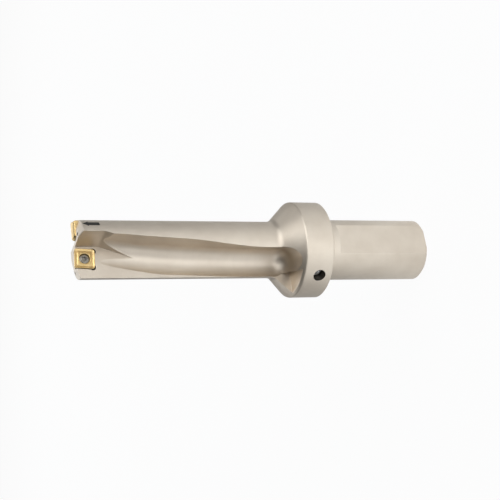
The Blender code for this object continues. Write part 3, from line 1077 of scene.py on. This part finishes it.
@dataclass
class DrillBody:
    """The one-piece steel body with its flutes, flat, coolant ways and side port."""

    blank: Blank
    flutes: list[Flute]
    flat_depth: float = 0.0022
    flat_setback: float = 0.008
    flat_turn: float = 24.3
    inlet_radius: float = 0.0070
    inlet_depth: float = 0.016
    inlet_chamfer: float = 0.0008
    feed_radius: float = 0.004
    outlet_radius: float = 0.0010
    outlet_tips: tuple[Pair, ...] = ((-0.0054, 0.0074), (0.0095, -0.0075))
    outlet_root: float = 0.20
    outlet_facets: int = 32
    feed_point: float = 0.02
    port_turn: float = -31.5
    port_rise: float = 0.0070
    port_radius: float = 0.0033
    port_way_radius: float = 0.0020
    plug_sink: float = 0.0046
    plug_length: float = 0.0060

    def port_place(self, radius: float) -> Matrix:
        """Placement on the side port's axis.

        Args:
            radius: Distance from the drill's axis.

        Returns:
            The placement, with Z outwards.
        """
        outwards = from_front(self.port_turn)
        height = Vector((0.0, 0.0, self.blank.shank_length + self.port_rise))
        return axis_place(outwards * radius + height, outwards)

    def flat_cutter(self) -> Thing:
        """Make the cutter of the shank's clamping flat.

        Returns:
            The cutter.
        """
        radius = self.blank.shank_radius
        outwards = from_front(self.flat_turn)
        sideways = outwards.cross(Vector((0.0, 0.0, 1.0))) * radius
        foot = outwards * (radius - self.flat_depth)
        low = Vector((0.0, 0.0, -BEYOND))
        high = Vector((0.0, 0.0, self.blank.shank_length - self.flat_setback))
        corners = [foot + sideways + low, foot - sideways + low, foot - sideways + high,
                   foot + sideways + high]
        cutter = pushed_solid("flat_cutter", corners, outwards * radius)
        return mark_surface(cutter, Surface.GROUND)

    def coolant_cutters(self) -> list[Thing]:
        """Make the cutters of the inlet, the feed, the outlets and the side port.

        Returns:
            The cutters.
        """
        port_height = self.blank.shank_length + self.port_rise
        feed_end = port_height + self.port_radius
        step = self.inlet_radius - self.feed_radius
        inlet = [(self.inlet_radius + self.inlet_chamfer + BEYOND, -BEYOND),
                 (self.inlet_radius, self.inlet_chamfer), (self.inlet_radius, self.inlet_depth),
                 (self.feed_radius, self.inlet_depth + step), (self.feed_radius, feed_end),
                 (self.feed_radius * self.feed_point, feed_end + self.feed_radius / 2)]
        cutters = [turned_solid("inlet_cutter", inlet, 2 * BORE_FACETS)]
        place = self.flutes[0].place
        for across, up in self.outlet_tips:
            root = Vector((across * self.outlet_root, up * self.outlet_root, port_height))
            tip = Vector((across, up, self.blank.front))
            over = tip + (tip - root).normalized() * BEYOND
            cutters.append(rod("outlet", place @ root, place @ over, self.outlet_radius,
                               self.outlet_facets))
        seat = self.blank.flange_radius - self.plug_sink - self.plug_length - SEAT_GAP
        out = self.blank.flange_radius - seat + BEYOND
        stepped = [(self.port_way_radius, -seat), (self.port_way_radius, 0.0),
                   (self.port_radius, 0.0), (self.port_radius, out)]
        cutters.append(put(turned_solid("port_cutter", stepped, SCREW_FACETS),
                           self.port_place(seat)))
        return [mark_surface(cutter, Surface.BORE) for cutter in cutters]

    def make(self) -> Thing:
        """Cut the body from its blank and dress it.

        Returns:
            The body.
        """
        body = self.blank.make()
        cutters = []
        for flute in self.flutes:
            cutters += [*flute.pads(), flute.groove(), *flute.pocket()]
        cutters += [self.flat_cutter(), *self.coolant_cutters()]
        for cutter in cutters:
            carve(body, cutter)
        for surface, finish in BODY_FINISHES.items():
            body.data.materials[surface] = finish.material()
        shade(body, BODY_SMOOTH)
        return body


@dataclass
class CuttingInsert:
    """An exchangeable square insert with a chip groove and a countersunk hole."""

    flute: Flute
    corner_steps: int = 8
    groove_steps: int = 8
    groove_turn: float = 0.8 * math.pi

    def make(self) -> Thing:
        """Press the insert: square, corners, clearance, chip groove and hole.

        Returns:
            The insert.
        """
        sizes = self.flute.insert
        deselect()
        bpy.ops.mesh.primitive_cube_add(size=sizes.size, location=(0, 0, -sizes.size / 2))
        thing = named(f"{self.flute.name}_cutting_insert")
        start_editing(thing, "EDGE")
        pick(thing, lambda edge: abs((edge.verts[0].co - edge.verts[1].co).z)
             > sizes.corner_radius, "edges")
        bpy.ops.mesh.bevel(offset=sizes.corner_radius, segments=self.corner_steps)
        bpy.ops.mesh.select_mode(type="FACE")
        pick(thing, lambda face: face.normal.z < -LEVEL)
        bpy.ops.transform.translate(value=(0, 0, sizes.size - sizes.thickness))
        relief = sizes.thickness * math.tan(math.radians(sizes.clearance))
        share = 1 - 2 * relief / sizes.size
        bpy.ops.transform.resize(value=(share, share, 1),
                                 center_override=(0, 0, -sizes.thickness))
        pick(thing, lambda face: face.normal.z > LEVEL)
        width, height = sizes.size, 0.0
        for inset, depth in self.rake_profile():
            bpy.ops.mesh.extrude_region_move(
                TRANSFORM_OT_translate={"value": (0, 0, depth - height)})
            share = (sizes.size - 2 * inset) / width
            bpy.ops.transform.resize(value=(share, share, 1), center_override=(0, 0, depth))
            width, height = sizes.size - 2 * inset, depth
        deselect()
        put(thing, self.flute.insert_place)
        hole = turned_solid("insert_hole", sizes.screw_outline(
            SEAT_GAP, sizes.thickness + BEYOND, BEYOND), SCREW_FACETS)
        carve(thing, put(hole, self.flute.screw_place))
        return dress(thing, COATING, width=0.00006, steps=2, above=35.0)

    def rake_profile(self) -> list[Pair]:
        """Draw the rake face from its edge inwards: land, round chip groove and island.

        Returns:
            Inset and height of each step.
        """
        sizes = self.flute.insert
        profile = [(sizes.land, 0.0)]
        for i in range(1, self.groove_steps + 1):
            share = i / self.groove_steps
            depth = math.sin(self.groove_turn * share) * sizes.groove_depth
            profile.append((sizes.land + sizes.groove_width * share, -depth))
        return profile


@dataclass
class InsertScrew:
    """The countersunk screw that holds an insert, with a lobed socket."""

    flute: Flute
    lobes: int = 6
    lobe_share: float = 0.1
    crown_radius: float = 0.00198
    ledge_slope: float = 0.00004
    tip_length: float = 0.0006
    tip_taper: float = 0.0004
    neck_length: float = 0.0012
    thread_turns: int = 7
    thread_depth: float = 0.00022
    crest: float = 0.15

    def socket_reach(self, turn: float) -> float:
        """Radius of the socket's outline at an angle in radians."""
        wave = self.lobe_share * math.cos(self.lobes * turn)
        return self.flute.insert.socket_radius * (1 - self.lobe_share + wave)

    def make(self) -> Thing:
        """Turn the screw and press its socket.

        Returns:
            The screw.
        """
        sizes = self.flute.insert
        stem, neck, rim, top = sizes.screw_outline(0.0, sizes.screw_length, 0.0)
        low = stem[1] + self.tip_length
        pitch = (neck[1] - self.neck_length - low) / self.thread_turns
        outline = [(stem[0] - self.tip_taper, stem[1]), (stem[0], low),
                   *thread(stem[0], self.thread_depth, low, pitch, self.thread_turns,
                           self.crest),
                   neck, rim, (self.crown_radius, rim[1] + self.ledge_slope),
                   (self.crown_radius, top[1])]
        thing = turned_solid(f"{self.flute.name}_screw", outline, SCREW_FACETS)
        press_socket(thing, 12 * self.lobes, self.socket_reach, sizes.socket_depth)
        put(thing, self.flute.screw_place)
        return dress(thing, SCREW_STEEL, width=0.00010, steps=3, above=40.0)


@dataclass
class CoolantPlug:
    """The set screw that closes the coolant way in the flange's side port."""

    body: DrillBody
    chamfer: float = 0.0004
    thread_turns: int = 6
    thread_depth: float = 0.00025
    crest: float = 0.1
    socket_width: float = 0.0030
    socket_depth: float = 0.0028

    def make(self) -> Thing:
        """Turn the plug and press its six-sided socket.

        Returns:
            The plug.
        """
        radius = self.body.port_radius - SEAT_GAP
        length = self.body.plug_length
        pitch = (length - 2 * self.chamfer) / self.thread_turns
        outline = [(radius - self.chamfer, -length),
                   *thread(radius, self.thread_depth, self.chamfer - length, pitch,
                           self.thread_turns, self.crest),
                   (radius - self.chamfer, 0.0)]
        thing = turned_solid("side_port_plug", outline, SCREW_FACETS)
        press_socket(thing, 6, lambda turn: self.socket_width / math.sqrt(3),
                     self.socket_depth)
        put(thing, self.body.port_place(self.body.blank.flange_radius - self.body.plug_sink))
        return dress(thing, PLUG_STEEL, width=0.00008, steps=2, above=40.0)


@dataclass
class DirectionMark:
    """The plain laser-marked arrow on the land, which points to the tip."""

    blank: Blank
    turn: float = 61.0
    tip_height: float = 0.1877
    head_length: float = 0.0030
    length: float = 0.0085
    head_width: float = 0.0044
    columns: int = 12
    shaft_columns: int = 8
    lift: float = 0.000004
    thickness: float = 0.00002

    def make(self) -> Thing:
        """Draw the arrow in narrow columns, wrap it on the land and thicken it.

        Returns:
            The mark.
        """
        half = self.columns // 2
        neck = self.tip_height - self.head_length
        tail = self.tip_height - self.length
        reach = [i - half for i in range(self.columns + 1)]
        points = [(i, neck) for i in reach]
        points += [(i, self.tip_height - self.head_length * abs(i) / half)
                   for i in reach[1:-1]]
        points += [(i, tail) for i in reach if abs(i) <= self.shaft_columns // 2]
        head = self.columns + 1
        shaft = head + self.columns - 1
        skip = half - self.shaft_columns // 2
        faces = [[0, 1, head], [self.columns - 1, self.columns, shaft - 1]]
        faces += [[i, i + 1, head + i, head + i - 1] for i in range(1, self.columns - 1)]
        faces += [[shaft + i, shaft + i + 1, skip + i + 1, skip + i]
                  for i in range(self.shaft_columns)]
        radius = self.blank.stem_radius + self.lift
        step = math.degrees(self.head_width / self.columns / radius)
        wrapped = [from_front(self.turn + step * i) * radius + Vector((0.0, 0.0, height))
                   for i, height in points]
        thing = drawn_mesh("direction_arrow", wrapped, faces)
        modify(thing, "SOLIDIFY", thickness=self.thickness, offset=1.0)
        face_outwards(thing)
        thing.data.materials.append(LaserMark().material())
        return thing


def light_share(sheet: NodeSheet, camera_share: float, glossy_share: Feed) -> Socket:
    """Work out how much of the white background a ray sees.

    Args:
        sheet: The node tree, of a material or of the world.
        camera_share: Share for rays from the camera, and for those that pass through.
        glossy_share: Share for reflected rays.

    Returns:
        The share, from 0 to 1.
    """
    path = sheet.add("LightPath").outputs
    camera, glossy, through = (sheet.combine("MULTIPLY", path[f"Is {ray} Ray"], share)
                               for ray, share in (("Camera", camera_share),
                                                  ("Glossy", glossy_share),
                                                  ("Transmission", camera_share)))
    return sheet.combine("ADD", sheet.combine("ADD", camera, glossy), through)


@dataclass
class Floor:
    """The plain pale floor that the drill stands on, which is also the background, with a
    painted pool of light that only reflections see.
    """

    size: float = 6.0
    tone: float = 0.82
    tone_change: float = 0.01
    cloud_size: float = 0.15
    camera_share: float = 0.95
    # The pool is painted light: for reflected rays the floor glows, brightest in front of the
    # drill and fading out to the pool's radius
    painted_pool_strength: float = 1.8
    painted_pool_middle: Point = (0.02, -0.22, 0.0)
    painted_pool_radius: float = 0.35

    def pool(self, sheet: NodeSheet) -> Socket:
        """Fade the painted pool of light that reflections see on the floor in front of the
        drill: a glow in the floor's material, not a lamp.

        Args:
            sheet: The floor's node tree.

        Returns:
            The share of it, 1 in the pool's middle and 0 at its rim.
        """
        away = sheet.add("VectorMath", {0: sheet.place, 1: self.painted_pool_middle},
                         operation="DISTANCE")
        return sheet.spread(away.outputs["Value"], 0.0, self.painted_pool_radius, 1.0, 0.0)

    def make(self) -> Thing:
        """Lay the floor, white to the camera, softly shaded by the drill, and glowing with a
        painted pool of light for reflections.

        Returns:
            The floor.
        """
        deselect()
        bpy.ops.mesh.primitive_grid_add(x_subdivisions=8, y_subdivisions=8, size=self.size)
        floor = named("studio_floor")
        sheet = NodeSheet("pale_floor")
        tone = sheet.noise(self.cloud_size, 0.2, 2.0, low=self.tone - self.tone_change,
                           high=self.tone)
        sheet.feed(sheet.shader, {"Roughness": 0.9, "Specular IOR Level": 0.0,
                                  "Base Color": tone})
        reflected = sheet.add("LightPath").outputs["Is Glossy Ray"]
        glow = sheet.add("Emission", {
            "Strength": sheet.spread(reflected, 0.0, 1.0, 1.0, self.painted_pool_strength),
            "Color": sheet.mix(reflected, WHITE, DAYLIGHT)})
        blend = sheet.add("MixShader", {
            "Fac": light_share(sheet, self.camera_share, self.pool(sheet)),
            1: sheet.shader.outputs["BSDF"], 2: glow.outputs["Emission"]})
        sheet.feed(sheet.tree.nodes["Material Output"], {"Surface": blend.outputs["Shader"]})
        floor.data.materials.append(sheet.material)
        return floor


class WorldSheet(NodeSheet):
    """The node tree of the world, with the same node helpers as a material."""

    def __init__(self) -> None:
        """Start the world's nodes."""
        self.world = bpy.data.worlds.new("studio_world")
        self.world.use_nodes = True
        self.tree = self.world.node_tree
        self.tree.nodes.clear()


@dataclass(frozen=True)
class Softbox:
    """One soft daylight lamp: where it stands, how large it is and how much it gives."""

    name: str
    stand: Point
    size: Pair
    power: float

    def make(self, aim: Vector) -> None:
        """Hang the lamp and point it.

        Args:
            aim: The point that it faces.
        """
        lamp = bpy.data.lights.new(self.name, "AREA")
        lamp.shape = "RECTANGLE"
        lamp.size, lamp.size_y = self.size
        lamp.energy = self.power
        lamp.color = DAYLIGHT
        thing = bpy.data.objects.new(self.name, lamp)
        bpy.context.scene.collection.objects.link(thing)
        thing.location = self.stand
        thing.rotation_mode = "QUATERNION"
        thing.rotation_quaternion = (aim - Vector(self.stand)).to_track_quat("-Z", "Y")


@dataclass
class Studio:
    """The floor, the world, the lamps and the camera."""

    floor: Floor = field(default_factory=Floor)
    ambient: float = 0.05
    glossy_share: float = 0.02
    aim: Point = (0.0, 0.0, 0.0969)
    boxes: tuple[Softbox, ...] = (
        Softbox("key_softbox", (0.45, -0.98, 0.50), (0.9, 0.7), 3.1),
        Softbox("high_softbox", (0.45, -0.95, 0.95), (0.9, 0.9), 2.0),
        Softbox("side_softbox", (0.90, -0.59, 0.50), (0.8, 0.6), 4.2),
        Softbox("high_side_softbox", (0.90, -0.54, 0.95), (0.8, 0.7), 1.4),
        Softbox("left_softbox", (-0.90, -0.60, 0.30), (0.8, 0.6), 0.7),
        Softbox("low_left_softbox", (-0.45, -0.42, 0.06), (0.2, 0.1), 0.22),
        Softbox("low_softbox", (0.0, -0.42, 0.06), (0.2, 0.1), 0.20),
        Softbox("top_softbox", (0.60, 0.0, 1.10), (0.5, 0.5), 2.4),
        Softbox("rim_softbox", (0.0, 1.05, 0.65), (0.8, 0.8), 3.6),
        Softbox("back_right_softbox", (0.80, 0.80, 0.60), (0.8, 0.6), 1.5),
        Softbox("back_left_softbox", (-0.80, 0.80, 0.60), (0.8, 0.6), 2.1),
    )
    camera_stand: Point = (0.0, -0.5771, 0.3231)
    lens: float = 85.5
    look: float = 21.4

    def make_world(self) -> None:
        """Set the world: white to the camera, softer to the drill."""
        sheet = WorldSheet()
        soft, white = (sheet.add("Background", {"Color": WHITE, "Strength": strength})
                       for strength in (self.ambient, 1.0))
        blend = sheet.add("MixShader", {"Fac": light_share(sheet, 1.0, self.glossy_share),
                                        1: soft.outputs["Background"],
                                        2: white.outputs["Background"]})
        sheet.add("OutputWorld", {"Surface": blend.outputs["Shader"]})
        bpy.context.scene.world = sheet.world

    def make_camera(self) -> None:
        """Stand the camera where the photograph was taken, with the tip to the left."""
        look = math.radians(self.look)
        right = Vector((0.0, -math.sin(look), -math.cos(look)))
        up = Vector((1.0, 0.0, 0.0))
        back = right.cross(up)
        lens = bpy.data.cameras.new("photo_camera")
        lens.lens = self.lens
        lens.sensor_width = 36.0
        lens.clip_start = 0.01
        lens.clip_end = 50.0
        camera = bpy.data.objects.new("photo_camera", lens)
        bpy.context.scene.collection.objects.link(camera)
        turn = Matrix((right, up, back)).transposed().to_4x4()
        camera.matrix_world = Matrix.Translation(self.camera_stand) @ turn
        bpy.context.scene.camera = camera

    def make(self) -> None:
        """Set up the whole studio."""
        self.floor.make()
        self.make_world()
        for box in self.boxes:
            box.make(Vector(self.aim))
        self.make_camera()
        bpy.context.scene.view_settings.view_transform = "Standard"


def finish_piece(piece: Thing, node: str | None = None) -> None:
    """Tie a finished piece to the frame and log what it came to.

    Args:
        piece: The finished piece.
        node: The CAD node that it stands for, if any.
    """
    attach(piece, "root")
    if node:
        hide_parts(node)
    piece.data.calc_loop_triangles()
    LOG.info("%s: %d triangles", piece.name, len(piece.data.loop_triangles))


def main() -> None:
    """Build every piece of the drill, then the studio."""
    logging.basicConfig(level=logging.INFO, format="%(name)s %(message)s")
    blank = Blank()
    insert = Insert()
    inner = Flute("inner", turn=0.0, insert_start=-0.0007, insert_lead=0.0009, insert_turn=4.0,
                  wall_clearance=0.00125, run_out_from_tip=0.0119, blank=blank, insert=insert)
    outer = Flute("outer", turn=180.0, insert_start=CUTTING_RADIUS - insert.size,
                  insert_lead=0.0013, insert_turn=0.0, wall_clearance=0.0004,
                  run_out_from_tip=0.0215, blank=blank, insert=insert)
    body = DrillBody(blank, [inner, outer])
    finish_piece(body.make(), "drill_body")
    for flute in (inner, outer):
        finish_piece(CuttingInsert(flute).make(), f"{flute.name}_insert")
        finish_piece(InsertScrew(flute).make(),
                     f"{flute.name}_insert_screw")
    finish_piece(CoolantPlug(body).make(), "coolant_plug")
    finish_piece(DirectionMark(blank).make())
    Studio().make()


if __name__ == "__main__":
    main()
